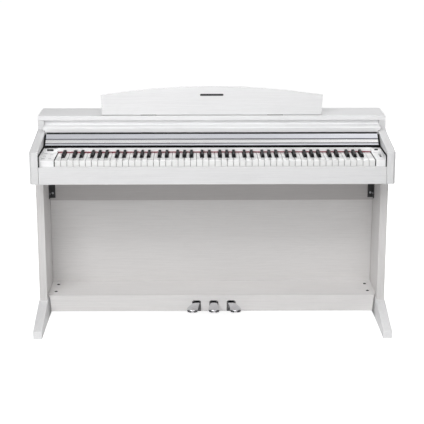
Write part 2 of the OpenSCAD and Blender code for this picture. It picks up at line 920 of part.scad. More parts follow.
// Cast lever: a level bar from the pivot to the board, then a tip that falls gently.
module pedal(side) {
    half = pedal_neck_w / 2;
    pivot_y = pedal_pivot[0];
    tip_y = board_y - pedal_reach;
    color("silver") placed() translate([pedal_x + side * pedal_pitch, 0, 0]) difference() {
        union() {
            slab(-half, half, board_y - touch, pivot_y + 8, lever_z[0], lever_z[1]);
            slab(-half, half, pivot_y, pivot_y + heel_len, lever_z[0], heel_top);
            intersection() {
                upward(0, lever_z[1] + 1) tip_plan(side);
                across(-pedal_pitch, pedal_pitch) polygon([
                    [board_y, lever_z[1]], [tip_y, tip_z[1]], [tip_y, tip_z[0]],
                    [tip_y + tip_toe[0], tip_toe[1]], [board_y, lever_z[0]]
                ]);
            }
        }
        bar_x(-pedal_neck_w, pedal_neck_w, pivot_y, pedal_pivot[1], axle_r + axle_clear);
    }
}

module left_pedal() { pedal(-1); }
module middle_pedal() { pedal(0); }
module right_pedal() { pedal(1); }

// Steel channel under the shelf: top plate, two ears, the axle and a floor tray with a front lip.
module pedal_frame() {
    plate_top = shelf_top - shelf_t;
    plate_bottom = plate_top - frame_plate_t;
    tray_y = shelf_y + 1;
    tray_top = tray_bottom + frame_plate_t;
    color("#4a4a4c") placed() translate([pedal_x, 0, 0]) union() {
        slab(-frame_x, frame_x, frame_plate_y[0], frame_plate_y[1], plate_bottom, plate_top);
        for (side = [-1, 1]) translate([side * (frame_x - ear_t / 2), pedal_pivot[0], 0])
            slab(-ear_t / 2, ear_t / 2, -ear_half, ear_half, tray_bottom, plate_bottom + 1);
        slab(-frame_x, frame_x, tray_y, frame_plate_y[1], tray_bottom, tray_top);
        slab(-frame_x, frame_x, tray_y, tray_y + tray_lip, tray_bottom - tray_lip, tray_top);
        bar_x(-frame_x, frame_x, pedal_pivot[0], pedal_pivot[1], axle_r);
    }
}

// A coil swept as one closed tube; each ring of points follows the helix.
module coil() {
    rings = spring_turns * spring_steps;
    rise = (spring_z[1] - spring_z[0]) / rings;
    points = [for (k = [0 : rings], s = [0 : spring_sides - 1])
        let (turn = 360 * k / spring_steps, around = 360 * s / spring_sides,
             r = spring_r + wire_r * cos(around))
        [r * cos(turn), r * sin(turn), spring_z[0] + k * rise + wire_r * sin(around)]];
    sides = [for (k = [0 : rings - 1], s = [0 : spring_sides - 1])
        let (next = (s + 1) % spring_sides, base = k * spring_sides, up = base + spring_sides)
        [base + s, up + s, up + next, base + next]];
    polyhedron(points, concat(
        [[for (s = [0 : spring_sides - 1]) s]], sides,
        [[for (s = [spring_sides - 1 : -1 : 0]) rings * spring_sides + s]]
    ));
}

// Return springs behind the axle, drawn at their pressed length.
module pedal_springs() {
    color("silver") placed() for (n = [-1 : 1])
        translate([pedal_x + n * pedal_pitch, pedal_pivot[0] + 20, 0]) coil();
}

left_cheek();
right_cheek();
keybed();
key_slip();
top_lid();
front_ledge();
cabinet_back();
left_end_block();
right_end_block();
name_strip();
cover_board();
cover_rail();
cover_end_caps();
cover_tracks();
music_rest();
rest_hinge_leaves();
rest_hinge_bases();
display_window();
key_chassis();
main_board();
speakers();
jack_panel();
power_button();
volume_knob();
panel_button_1();
panel_button_2();
panel_button_3();
panel_button_4();
panel_button_5();
key_c4();
key_cs4();
key_d4();
key_ds4();
key_e4();
key_f4();
key_fs4();
key_g4();
key_gs4();
key_a4();
key_as4();
key_b4();
white_keys_bass();
white_keys_treble();
black_keys_bass();
black_keys_treble();
left_leg();
right_leg();
left_foot();
right_foot();
back_panel();
upper_rail();
corner_brackets();
pedal_shelf();
pedal_front_board();
left_pedal();
middle_pedal();
right_pedal();
pedal_frame();
pedal_springs();
screws();
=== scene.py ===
"""Looks of the digital piano on its stand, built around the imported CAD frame."""

import json
import math

import bmesh
import bpy
from mathutils import Matrix, Vector


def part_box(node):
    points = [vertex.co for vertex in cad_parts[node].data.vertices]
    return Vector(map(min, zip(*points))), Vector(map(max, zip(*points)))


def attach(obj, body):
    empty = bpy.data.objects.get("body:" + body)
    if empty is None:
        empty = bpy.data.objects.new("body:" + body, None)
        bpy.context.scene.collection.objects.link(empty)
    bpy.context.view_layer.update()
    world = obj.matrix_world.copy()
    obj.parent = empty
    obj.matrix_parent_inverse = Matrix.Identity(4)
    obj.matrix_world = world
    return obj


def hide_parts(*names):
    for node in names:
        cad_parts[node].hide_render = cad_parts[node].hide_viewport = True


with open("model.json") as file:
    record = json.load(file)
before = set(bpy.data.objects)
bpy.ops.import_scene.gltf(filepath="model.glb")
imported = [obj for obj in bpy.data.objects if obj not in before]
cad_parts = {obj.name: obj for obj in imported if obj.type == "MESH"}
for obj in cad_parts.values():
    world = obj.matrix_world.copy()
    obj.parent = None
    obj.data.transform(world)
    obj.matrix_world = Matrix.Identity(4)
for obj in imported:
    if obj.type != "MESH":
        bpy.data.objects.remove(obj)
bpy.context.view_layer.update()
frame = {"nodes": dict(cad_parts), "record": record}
MM = 0.001


# ---- Node materials ---------------------------------------------------------

class Shader:
    """A Principled material and short calls that add nodes to it."""

    def __init__(self, name, color, roughness, metallic=0.0, coat=0.0, coat_roughness=0.1):
        self.material = bpy.data.materials.new(name)
        self.material.use_nodes = True
        self.tree = self.material.node_tree
        self.surface = self.tree.nodes["Principled BSDF"]
        self.set(self.surface, {"Base Color": (*color, 1.0), "Roughness": roughness, "Metallic": metallic,
                                "Coat Weight": coat, "Coat Roughness": coat_roughness})
        self.place = self.tree.nodes.new("ShaderNodeTexCoord").outputs["Object"]

    def set(self, node, inputs):
        for key, value in inputs.items():
            if isinstance(value, bpy.types.NodeSocket):
                self.tree.links.new(value, node.inputs[key])
            else:
                node.inputs[key].default_value = value

    def node(self, kind, inputs, **settings):
        node = self.tree.nodes.new(kind)
        for key, value in settings.items():
            setattr(node, key, value)
        self.set(node, inputs)
        return node

    def scaled(self, x, y, z):
        """The object's coordinates, stretched for each axis."""
        return self.node("ShaderNodeMapping", {"Vector": self.place, "Scale": (x, y, z)}).outputs[0]

    def noise(self, vector, scale=1.0, detail=3.0, roughness=0.55):
        inputs = {"Vector": vector, "Scale": scale, "Detail": detail, "Roughness": roughness}
        return self.node("ShaderNodeTexNoise", inputs).outputs["Fac"]

    def math(self, operation, a, b=0.0):
        return self.node("ShaderNodeMath", {0: a, 1: b}, operation=operation).outputs[0]

    def spread(self, value, from_low, from_high, to_low, to_high):
        """Maps a range of a value to another range, clamped."""
        return self.node("ShaderNodeMapRange", {0: value, 1: from_low, 2: from_high,
                                                3: to_low, 4: to_high}).outputs[0]

    def mix(self, factor, dark, light):
        """A colour between two colours."""
        node = self.node("ShaderNodeMix", {}, data_type="RGBA")
        for socket, value in ((node.inputs[0], factor), (node.inputs[6], dark), (node.inputs[7], light)):
            if isinstance(value, bpy.types.NodeSocket):
                self.tree.links.new(value, socket)
            else:
                socket.default_value = value if socket.type == "VALUE" else (*value, 1.0)
        return node.outputs[2]

    def bump(self, height, distance, strength=1.0, below=None):
        inputs = {"Height": height, "Distance": distance, "Strength": strength}
        if below is not None:
            inputs["Normal"] = below
        return self.node("ShaderNodeBump", inputs).outputs[0]

    def finish(self, color=None, roughness=None, normal=None):
        for key, value in (("Base Color", color), ("Roughness", roughness), ("Normal", normal)):
            if value is not None:
                self.tree.links.new(value, self.surface.inputs[key])
        return self.material


def grain_scale(along, length, width):
    """Texture scales of streaks of that length and width, in metres, that run along an axis."""
    return [1 / length if axis == along else 1 / width for axis in "xyz"]


def white_wood(name, along, tone, tint=(1.0, 1.0, 1.008)):
    """White paint over embossed ash: contour-like figure, pores and soft streaks along one axis; tone and
    tint also carry each board's painted light and painted shade.
    """
    paint = tuple(tone * c for c in tint)
    s = Shader(name, paint, 0.5)
    figure = s.noise(s.scaled(*grain_scale(along, 0.9, 0.16)), detail=1.5, roughness=0.4)
    rings = s.math("FRACT", s.math("MULTIPLY", figure, 26.0))
    ring_lines = s.spread(s.math("ABSOLUTE", s.math("SUBTRACT", rings, 0.5)), 0.0, 0.2, 1.0, 0.0)
    pores = s.spread(s.noise(s.scaled(*grain_scale(along, 0.035, 0.0011)), detail=2.0), 0.55, 0.68, 0.0, 1.0)
    streaks = s.noise(s.scaled(*grain_scale(along, 0.16, 0.004)), detail=3.0, roughness=0.6)
    clouds = s.noise(s.scaled(*grain_scale(along, 0.6, 0.12)), detail=2.0)
    relief = s.math("ADD", s.math("MULTIPLY", ring_lines, 0.3), pores)
    drift = s.math("ADD", s.math("MULTIPLY", s.spread(streaks, 0.3, 0.7, 0.0, 1.0), 0.7),
                   s.math("MULTIPLY", s.spread(clouds, 0.35, 0.65, 0.0, 1.0), 0.3))
    shade = s.math("SUBTRACT", drift, s.math("MULTIPLY", relief, 0.42))
    color = s.mix(s.spread(shade, -0.4, 1.0, 0.0, 1.0), tuple(c * 0.885 for c in paint), paint)
    rough = s.spread(relief, 0.0, 1.4, 0.42, 0.62)
    depth = s.math("MULTIPLY", relief, -1.0)
    return s.finish(color, rough, s.bump(depth, 0.0002, 0.45))


def satin_plastic(name, color, roughness, grain=0.0006, depth=0.00003, tones=0.04, coat=0.0, specular=0.5):
    """Moulded plastic with a fine texture, slight tonal drift and rubbed patches."""
    s = Shader(name, color, roughness, coat=coat)
    s.set(s.surface, {"Specular IOR Level": specular})
    dark = tuple(c * (1 - tones) for c in color)
    light = tuple(min(1.0, c * (1 + tones)) for c in color)
    drift = s.spread(s.noise(s.place, scale=14.0, detail=3.0), 0.35, 0.65, 0.0, 1.0)
    rubbed = s.spread(s.noise(s.place, scale=55.0, detail=4.0), 0.3, 0.7, roughness * 0.82, roughness * 1.15)
    texture = s.noise(s.place, scale=1 / grain, detail=1.0)
    return s.finish(s.mix(drift, dark, light), rubbed, s.bump(texture, depth, 0.6))


def white_key_plastic():
    """Polished key plastic: a clear gloss with faint polishing streaks along each key."""
    s = Shader("white_key_plastic", (0.87, 0.87, 0.865), 0.2, coat=0.35, coat_roughness=0.08)
    streaks = s.noise(s.scaled(260.0, 7.0, 40.0), detail=2.0)
    drift = s.noise(s.place, scale=9.0, detail=2.0)
    color = s.mix(s.spread(drift, 0.35, 0.65, 0.0, 1.0), (0.85, 0.85, 0.845), (0.885, 0.885, 0.88))
    return s.finish(color, s.spread(streaks, 0.3, 0.7, 0.16, 0.27), s.bump(streaks, 0.00002, 0.3))


def black_key_plastic():
    """Black key plastic, satin on top and polished smooth where fingers rub it."""
    s = Shader("black_key_plastic", (0.007, 0.007, 0.008), 0.4)
    s.set(s.surface, {"Specular IOR Level": 0.1})
    fine = s.noise(s.scaled(900.0, 120.0, 900.0), detail=2.0)
    patches = s.noise(s.place, scale=38.0, detail=3.0)
    color = s.mix(s.spread(patches, 0.35, 0.65, 0.0, 1.0), (0.005, 0.005, 0.006), (0.010, 0.010, 0.011))
    return s.finish(color, s.spread(patches, 0.3, 0.7, 0.36, 0.54), s.bump(fine, 0.00003, 0.4))


def brushed_metal(name, color, roughness, along, length=0.12, width=0.0005):
    """Metal brushed along one axis."""
    s = Shader(name, color, roughness, metallic=1.0)
    lines = s.noise(s.scaled(*grain_scale(along, length, width)), detail=3.0, roughness=0.7)
    broad = s.noise(s.scaled(*grain_scale(along, 0.5, 0.01)), detail=2.0)
    dark = tuple(c * 0.9 for c in color)
    light = tuple(min(1.0, c * 1.06) for c in color)
    tint = s.mix(s.spread(s.math("ADD", lines, broad), 0.7, 1.3, 0.0, 1.0), dark, light)
    return s.finish(tint, s.spread(lines, 0.3, 0.7, roughness * 0.75, roughness * 1.3),
                    s.bump(lines, 0.00004, 0.5))


def polished_metal(name, color, roughness):
    """Plated casting with a soft mirror and slight polishing waves."""
    s = Shader(name, color, roughness, metallic=1.0)
    waves = s.noise(s.place, scale=45.0, detail=2.0)
    haze = s.noise(s.place, scale=160.0, detail=4.0)
    tint = s.mix(s.spread(waves, 0.35, 0.65, 0.0, 1.0), tuple(c * 0.95 for c in color), color)
    return s.finish(tint, s.spread(haze, 0.3, 0.75, roughness * 0.7, roughness * 1.6),
                    s.bump(waves, 0.0002, 0.15))


def powder_coat(name, color):
    """Powder-coated steel with a light orange peel."""
    s = Shader(name, color, 0.42)
    peel = s.noise(s.place, scale=850.0, detail=2.0)
    drift = s.noise(s.place, scale=30.0, detail=2.0)
    tint = s.mix(s.spread(drift, 0.35, 0.65, 0.0, 1.0), tuple(c * 0.8 for c in color),
                 tuple(c * 1.3 for c in color))
    return s.finish(tint, s.spread(peel, 0.3, 0.7, 0.36, 0.5), s.bump(peel, 0.00006, 0.6))


def felt(name, color, sheen):
    """Pressed felt: short matted fibres and a soft sheen."""
    s = Shader(name, color, 0.95)
    s.set(s.surface, {"Sheen Weight": sheen, "Sheen Roughness": 0.5, "Specular IOR Level": 0.1})
    fibres = s.noise(s.scaled(2600.0, 900.0, 2600.0), detail=3.0, roughness=0.75)
    tufts = s.noise(s.place, scale=240.0, detail=2.0)
    tint = s.mix(s.spread(s.math("ADD", fibres, tufts), 0.75, 1.25, 0.0, 1.0),
                 tuple(c * 0.55 for c in color), tuple(min(1.0, c * 1.4) for c in color))
    return s.finish(tint, s.spread(fibres, 0.3, 0.7, 0.85, 1.0), s.bump(fibres, 0.0004, 0.8))


def circuit_board():
    """Solder mask with copper tracks under it."""
    s = Shader("circuit_board", (0.02, 0.16, 0.06), 0.35)
    layout = {"Vector": s.place, "Scale": 90.0, "Mortar Size": 0.04}
    tracks = s.node("ShaderNodeTexBrick", layout).outputs["Fac"]
    tint = s.mix(tracks, (0.015, 0.13, 0.05), (0.05, 0.27, 0.1))
    return s.finish(tint, s.spread(tracks, 0.0, 1.0, 0.3, 0.45), s.bump(tracks, 0.00005, 0.5))


# Warm tints of painted shade for the boards below the keybed
SHADE_TINT = (1.0, 0.982, 0.974)
DEEP_SHADE_TINT = (1.0, 0.965, 0.955)

# The boards share one paint; the tone of each is set to how light it looks under the softboxes, so each tone
# holds painted light and painted shade: the rail's dark tone is painted shadow from the keybed, and the warm
# tints on the boards below the keybed are painted shade.
MATERIALS = {
    "lid_wood": white_wood("lid_wood", "x", 0.875),
    "ledge_wood": white_wood("ledge_wood", "x", 0.95),
    "slip_wood": white_wood("slip_wood", "x", 0.75),
    "arm_wood": white_wood("arm_wood", "y", 0.73),
    "rest_wood": white_wood("rest_wood", "x", 0.79),
    "leg_wood": white_wood("leg_wood", "z", 0.735, SHADE_TINT),
    "foot_wood": white_wood("foot_wood", "y", 0.91),
    "panel_wood": white_wood("panel_wood", "x", 0.785, SHADE_TINT),
    # The rail's dark tone is painted shadow from the keybed above it.
    "rail_wood_painted_shade": white_wood("rail_wood_painted_shade", "x", 0.535, DEEP_SHADE_TINT),
    "shelf_wood": white_wood("shelf_wood", "x", 0.86, SHADE_TINT),
    "board_wood": white_wood("board_wood", "x", 0.80, SHADE_TINT),
    "white_plastic": satin_plastic("white_satin_plastic", (0.9, 0.9, 0.905), 0.38),
    "grey_plastic": satin_plastic("grey_plastic", (0.52, 0.52, 0.53), 0.42),
    "chassis_plastic": satin_plastic("chassis_plastic", (0.12, 0.12, 0.125), 0.5),
    "black_plastic": satin_plastic("black_plastic", (0.012, 0.012, 0.013), 0.45, tones=0.2),
    "display": satin_plastic("display_glass", (0.006, 0.006, 0.007), 0.12,
                             depth=0.000005, tones=0.3, coat=1.0),
    "speaker": satin_plastic("speaker_paper", (0.03, 0.03, 0.032), 0.8,
                             grain=0.0015, depth=0.0002, tones=0.2),
    "white_key": white_key_plastic(),
    "black_key": black_key_plastic(),
    "aluminium": brushed_metal("brushed_aluminium", (0.79, 0.80, 0.85), 0.34, "x"),
    # Dark metal for the grooves' floors: painted shade in the grooves
    "aluminium_groove_shade": brushed_metal("groove_painted_shade", (0.28, 0.28, 0.3), 0.42, "x"),
    "aluminium_lighter_band": brushed_metal("lighter_band", (0.97, 0.97, 0.98), 0.3, "x"),
    # Grey for the keys' sides: painted shade in the gaps between keys
    "key_gap_shade": satin_plastic("key_gap_shade", (0.3, 0.3, 0.295), 0.5),
    "rubber": satin_plastic("black_rubber", (0.006, 0.006, 0.0065), 0.75, tones=0.2, specular=0.12),
    "zinc": brushed_metal("zinc_steel", (0.6, 0.61, 0.64), 0.3, "x", length=0.01, width=0.0004),
    "spring": brushed_metal("spring_steel", (0.5, 0.5, 0.52), 0.3, "z"),
    "nickel": polished_metal("polished_nickel", (0.74, 0.74, 0.76), 0.16),
    "black_steel": powder_coat("black_steel", (0.02, 0.02, 0.022)),
    "frame_steel": powder_coat("frame_steel", (0.07, 0.07, 0.075)),
    "red_felt": felt("red_felt", (0.24, 0.032, 0.052), 0.15),
    "black_felt": felt("black_felt", (0.005, 0.005, 0.0055), 0.02),
    "circuit_board": circuit_board(),
}


# ---- Making pieces ----------------------------------------------------------

NODE_BODY = {n: body for body, nodes in frame["record"]["behaviour"]["bodies"].items() for n in nodes}
NODE_SLOT = {p["node"]: p["material_slot"] for p in frame["record"]["subparts"]}


def add_piece(name, mesh, body, material, smooth=True):
    """Links a mesh as a piece that rides on a body."""
    obj = bpy.data.objects.new(name, mesh)
    bpy.context.scene.collection.objects.link(obj)
    mesh.materials.clear()
    mesh.materials.append(MATERIALS[material])
    for face in mesh.polygons:
        face.use_smooth = smooth
    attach(obj, body)
    return obj


def apply_modifiers(obj):
    """Turns an object's modifiers into its mesh."""
    depsgraph = bpy.context.evaluated_depsgraph_get()
    mesh = bpy.data.meshes.new_from_object(obj.evaluated_get(depsgraph), depsgraph=depsgraph)
    obj.modifiers.clear()
    old = obj.data
    obj.data = mesh
    bpy.data.meshes.remove(old)


def bevel(obj, width, angle=30):
    """Rounds an object's sharp edges and keeps its flat faces flat in the shading."""
    rounding = obj.modifiers.new("rounding", "BEVEL")
    rounding.width = width
    rounding.segments = 2
    rounding.limit_method = "ANGLE"
    rounding.angle_limit = math.radians(angle)
    rounding.use_clamp_overlap = True
    obj.modifiers.new("shading", "WEIGHTED_NORMAL").keep_sharp = True
    apply_modifiers(obj)


def finish_node(node, material, width_mm):
    """A copy of a CAD node with rounded edges and its real material, in place of the node."""
    mesh = frame["nodes"][node].data.copy()
    edit = bmesh.new()
    edit.from_mesh(mesh)
    bmesh.ops.remove_doubles(edit, verts=edit.verts, dist=0.01 * MM)
    bmesh.ops.dissolve_limit(edit, angle_limit=math.radians(0.5), verts=edit.verts, edges=edit.edges)
    edit.to_mesh(mesh)
    edit.free()
    obj = add_piece(node + ".finish", mesh, NODE_BODY[node], material)
    bevel(obj, width_mm * MM)
    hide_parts(node)
    return obj


def keep_node(node, material):
    """A CAD node whose shape is right: only its material changes."""
    frame["nodes"][node].material_slots[0].material = MATERIALS[material]


# ---- Boards, panels and controls --------------------------------------------

# The material of each node and the width of its rounded edges, in mm
FINISHES = {
    "left_cheek": ("arm_wood", 1.2), "right_cheek": ("arm_wood", 1.2),
    "keybed": ("slip_wood", 0.8), "key_slip": ("slip_wood", 1.0), "top_lid": ("lid_wood", 0.6),
    "front_ledge": ("ledge_wood", 0.5), "cabinet_back": ("lid_wood", 0.8),
    "music_rest": ("rest_wood", 1.2),
    "left_leg": ("leg_wood", 1.2), "right_leg": ("leg_wood", 1.2),
    "left_foot": ("foot_wood", 1.5), "right_foot": ("foot_wood", 1.5),
    "back_panel": ("panel_wood", 1.0), "upper_rail": ("rail_wood_painted_shade", 1.0),
    "pedal_shelf": ("shelf_wood", 1.2), "pedal_front_board": ("board_wood", 1.5),
    "cover_board": ("lid_wood", 1.0),
    "left_end_block": ("white_plastic", 0.8), "right_end_block": ("white_plastic", 0.8),
    "name_strip": ("white_plastic", 0.5),
    "cover_end_caps": ("rubber", 0.6),
    "cover_tracks": ("rubber", 0.3), "corner_brackets": ("black_steel", 0.5),
    "volume_knob": ("grey_plastic", 0.6), "power_button": ("black_plastic", 0.5),
    "display_window": ("display", 0.2), "jack_panel": ("black_plastic", 0.4),
}
FINISHES.update({f"panel_button_{n}": ("grey_plastic", 0.5) for n in range(1, 6)})

# Nodes whose CAD shape is right as it is
KEPT = {
    "key_chassis": "chassis_plastic", "main_board": "circuit_board", "speakers": "speaker",
    "rest_hinge_leaves": "black_steel", "rest_hinge_bases": "black_steel",
    "pedal_frame": "frame_steel", "pedal_springs": "spring",
}

for node, (material, width_mm) in FINISHES.items():
    finish_node(node, material, width_mm)
for node, material in KEPT.items():
    keep_node(node, material)


# ---- Keys and end blocks ----------------------------------------------------

KEY_CAP = 3 * MM
BLOCK_EDGE = 2 * MM


def cut_at(obj, height):
    """Cuts an object's faces along a level plane, so that they can take another material below it."""
    edit = bmesh.new()
    edit.from_mesh(obj.data)
    bmesh.ops.bisect_plane(edit, geom=edit.verts[:] + edit.edges[:] + edit.faces[:],
                           plane_co=(0, 0, height), plane_no=(0, 0, 1))
    edit.to_mesh(obj.data)
    edit.free()


def paint_faces(obj, material, chosen):
    """Gives another material to the faces that chosen(face) picks."""
    obj.data.materials.append(MATERIALS[material])
    for face in obj.data.polygons:
        if chosen(face):
            face.material_index = len(obj.data.materials) - 1


def add_white_key(node):
    """A white key, or a group of them, with grey sides under the cap: painted shade for the dark gaps between
    keys.
    """
    key = finish_node(node, "white_key", 0.7)
    cap_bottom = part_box(node)[1][2] - KEY_CAP
    cut_at(key, cap_bottom)
    # Side faces below the cap take grey, painted shade for the gaps.
    paint_faces(key, "key_gap_shade", lambda f: abs(f.normal.x) > 0.9 and f.center.z < cap_bottom)


def line_end_block(node, inward):
    """Black lining on the side of an end block that faces the keys, below its rounded top edge."""
    block = bpy.data.objects[node + ".finish"]
    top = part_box(node)[1][2] - BLOCK_EDGE
    cut_at(block, top)
    paint_faces(block, "rubber", lambda f: f.normal.x * inward > 0.9 and f.center.z < top)


for node, slot in NODE_SLOT.items():
    if slot == "white_key_plastic":
        add_white_key(node)
    elif slot == "black_key_plastic":
        finish_node(node, "black_key", 1.0)
line_end_block("left_end_block", 1)
line_end_block("right_end_block", -1)


# ---- Shapes made in mesh code -----------------------------------------------

def clean(mesh, merge):
    """Merges points closer than that, which drops faces that shrink to nothing, deletes loose edges and turns
    the faces outward.
    """
    edit = bmesh.new()
    edit.from_mesh(mesh)
    bmesh.ops.remove_doubles(edit, verts=edit.verts, dist=merge)
    bmesh.ops.delete(edit, geom=[edge for edge in edit.edges if edge.is_wire], context="EDGES")
    bmesh.ops.recalc_face_normals(edit, faces=edit.faces)
    edit.to_mesh(mesh)
    edit.free()


def loft(name, rings, closed_path=False):
    """A skin over rings of points; the first and last rings are capped unless the path closes on itself."""
    n = len(rings[0])
    total = n * len(rings)
    spans = len(rings) if closed_path else len(rings) - 1
    faces = [(a * n + k, a * n + (k + 1) % n, (a * n + n + (k + 1) % n) % total, (a * n + n + k) % total)
             for a in range(spans) for k in range(n)]
    if not closed_path:
        faces += [tuple(reversed(range(n))), tuple(range(total - n, total))]
    mesh = bpy.data.meshes.new(name)
    mesh.from_pydata([p for ring in rings for p in ring], [], faces)
    clean(mesh, 0.001 * MM)
    return mesh


RIPPLE_STEPS = 300
STRIP_EDGE = 0.4 * MM


def strip(name, outline, x0, x1, body, material, ripple=0.0):
    """A strip along X with an outline of (y, z) points; ripple waves it slightly, as soft felt lies."""
    steps = RIPPLE_STEPS if ripple else 1
    rings = []
    for k in range(steps + 1):
        x = x0 + (x1 - x0) * k / steps
        sway = ripple * (math.sin(x * 230) + math.sin(x * 610 + 1.0) + math.sin(x * 1270 + 2.0)) / 3
        rings.append([(x, y + sway, z + sway * 0.4) for y, z in outline])
    bevel(add_piece(name, loft(name, rings), body, material), STRIP_EDGE)


def revolve(name, profile, sides=48):
    """A solid ring or disc about Z from a closed outline of (radius, z) points."""
    rings = [[(r * math.cos(a), r * math.sin(a), z) for r, z in profile]
             for a in (math.tau * k / sides for k in range(sides))]
    return loft(name, rings, closed_path=True)


def place_copies(name, mesh, places, body, material):
    """One piece made of a copy of a mesh at each matrix."""
    joined = bmesh.new()
    for place in places:
        copy = mesh.copy()
        copy.transform(place)
        joined.from_mesh(copy)
        bpy.data.meshes.remove(copy)
    whole = bpy.data.meshes.new(name)
    joined.to_mesh(whole)
    joined.free()
    return add_piece(name, whole, body, material)


def facing(point, direction):
    """The matrix that stands a shape drawn along +Z on a point, facing a direction."""
    return Matrix.Translation(point) @ Vector(direction).to_track_quat("Z", "Y").to_matrix().to_4x4()


JOINTS = {j["name"]: j for j in frame["record"]["behaviour"]["joints"]}
MOUNTS = {m["name"]: m for m in frame["record"]["mounts"]}


# ---- Sliding cover ----------------------------------------------------------

RAIL_DEPTH = 48 * MM
RAIL_RISE = 35.5 * MM
GROOVES = ((7.8 * MM, 13.4 * MM), (29.1 * MM, 35.9 * MM))
GROOVE_MARGIN = 0.3 * MM


def finish_rail():
    """Brushed rail with a dark metal on the floors of its machined grooves, painted shade, and a lighter band
    between them.
    """
    rail = finish_node("cover_rail", "aluminium", 0.4)
    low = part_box("cover_rail")[0]
    slope = math.atan2(RAIL_RISE, RAIL_DEPTH)
    along = Vector((0, math.cos(slope), math.sin(slope)))
    outward = Vector((0, -math.sin(slope), math.cos(slope)))
    foot = Vector((0, low[1], low[2]))

    def up_the_face(face):
        return (face.center - foot).dot(along)

    def in_groove(face):
        inside = any(start - GROOVE_MARGIN < up_the_face(face) < end + GROOVE_MARGIN
                     for start, end in GROOVES)
        return inside and (face.center - foot).dot(outward) < -GROOVE_MARGIN

    def in_band(face):
        return (GROOVES[0][1] < up_the_face(face) < GROOVES[1][0]
                and face.normal.dot(outward) > 0.3 and (face.center - foot).dot(outward) > -0.5 * MM)

    # The grooves' floors take the dark metal as painted shade.
    paint_faces(rail, "aluminium_groove_shade", in_groove)
    paint_faces(rail, "aluminium_lighter_band", in_band)


def add_cover_slot_shade():
    """Black rubber strip along the rear edge of the rail, in front of the ledge's nose: painted shade for the
    dark slot under the nose.
    """
    rail_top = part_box("cover_rail")[1][2]
    board_low, board_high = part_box("cover_board")
    nose_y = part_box("front_ledge")[0][1]
    front = board_low[1] - 5.5 * MM
    outline = [(front, rail_top - 1.2 * MM), (front + 3 * MM, rail_top + 0.9 * MM),
               (nose_y - 3 * MM, rail_top + 0.9 * MM), (nose_y - 0.5 * MM, board_high[2] + 0.2 * MM),
               (nose_y - 0.5 * MM, board_high[2] - 0.5 * MM), (front + 6 * MM, board_high[2] - 0.5 * MM)]
    strip("cover_slot_shade", outline, board_low[0] + 5 * MM, board_high[0] - 5 * MM,
          "key_cover", "rubber")


finish_rail()
add_cover_slot_shade()


# ---- Felts ------------------------------------------------------------------

def add_felts():
    """Red felt behind the keys and the black dust felt under the cover rail."""
    low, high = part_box("name_strip")
    key_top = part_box("white_keys_bass")[1][2]
    red = [(low[1] - 4.2 * MM, key_top + 0.5 * MM), (low[1] - 4.6 * MM, key_top + 1.6 * MM),
           (low[1] - 4.0 * MM, key_top + 3.2 * MM), (low[1] + 0.2 * MM, key_top + 3.6 * MM),
           (low[1] + 0.2 * MM, key_top + 0.5 * MM)]
    strip("red_felt_strip", red, low[0] + MM, high[0] - MM, "root", "red_felt", ripple=0.25 * MM)
    rail_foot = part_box("cover_rail")[0][2]
    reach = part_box("cover_tracks")[1][0] - 4.6 * MM
    black = [(low[1] - 0.4 * MM, high[2] - 0.3 * MM), (low[1] - 0.9 * MM, high[2] + 1.5 * MM),
             (low[1] - 0.2 * MM, rail_foot - 0.6 * MM), (high[1], rail_foot - 0.4 * MM),
             (high[1], high[2] - 0.3 * MM)]
    strip("dust_felt", black, -reach, reach, "root", "black_felt", ripple=0.12 * MM)


add_felts()


# ---- Pedals -----------------------------------------------------------------

PEDAL_REACH = 80 * MM
PEDAL_NECK = 13 * MM
PEDAL_TIP = 21.5 * MM
PEDAL_SPLAY = 16 * MM
PEDAL_STEPS = 44
SLOT_HALF = 17.5 * MM
SLOT_RADIUS = 8 * MM
SLOT_BELOW_TOP = 23 * MM
LINER_WALL = 1.4 * MM


def ease(t):
    """Runs from 0 to 1 with level ends."""
    t = min(1.0, max(0.0, t))
    return t * t * (3 - 2 * t)


def quarter_round(t):
    """The drop of a quarter circle of radius 1, from 0 at t = 0 to 1 at t = 1."""
    return 1 - math.sqrt(max(0, 1 - t ** 2))


def pedal_section(x, y, half, bottom, top, crown, sides=40, power=5.0):
    """A rounded section with a slightly domed top."""
    middle, tall = (bottom + top) / 2, (top - bottom) / 2
    ring = []
    for k in range(sides):
        c, s = math.cos(math.tau * k / sides), math.sin(math.tau * k / sides)
        u = math.copysign(abs(c) ** (2 / power), c)
        v = math.copysign(abs(s) ** (2 / power), s)
        dome = crown * (1 - u * u) if v > 0 else 0.0
        ring.append((x + u * half, y, middle + v * tall + dome))
    return ring


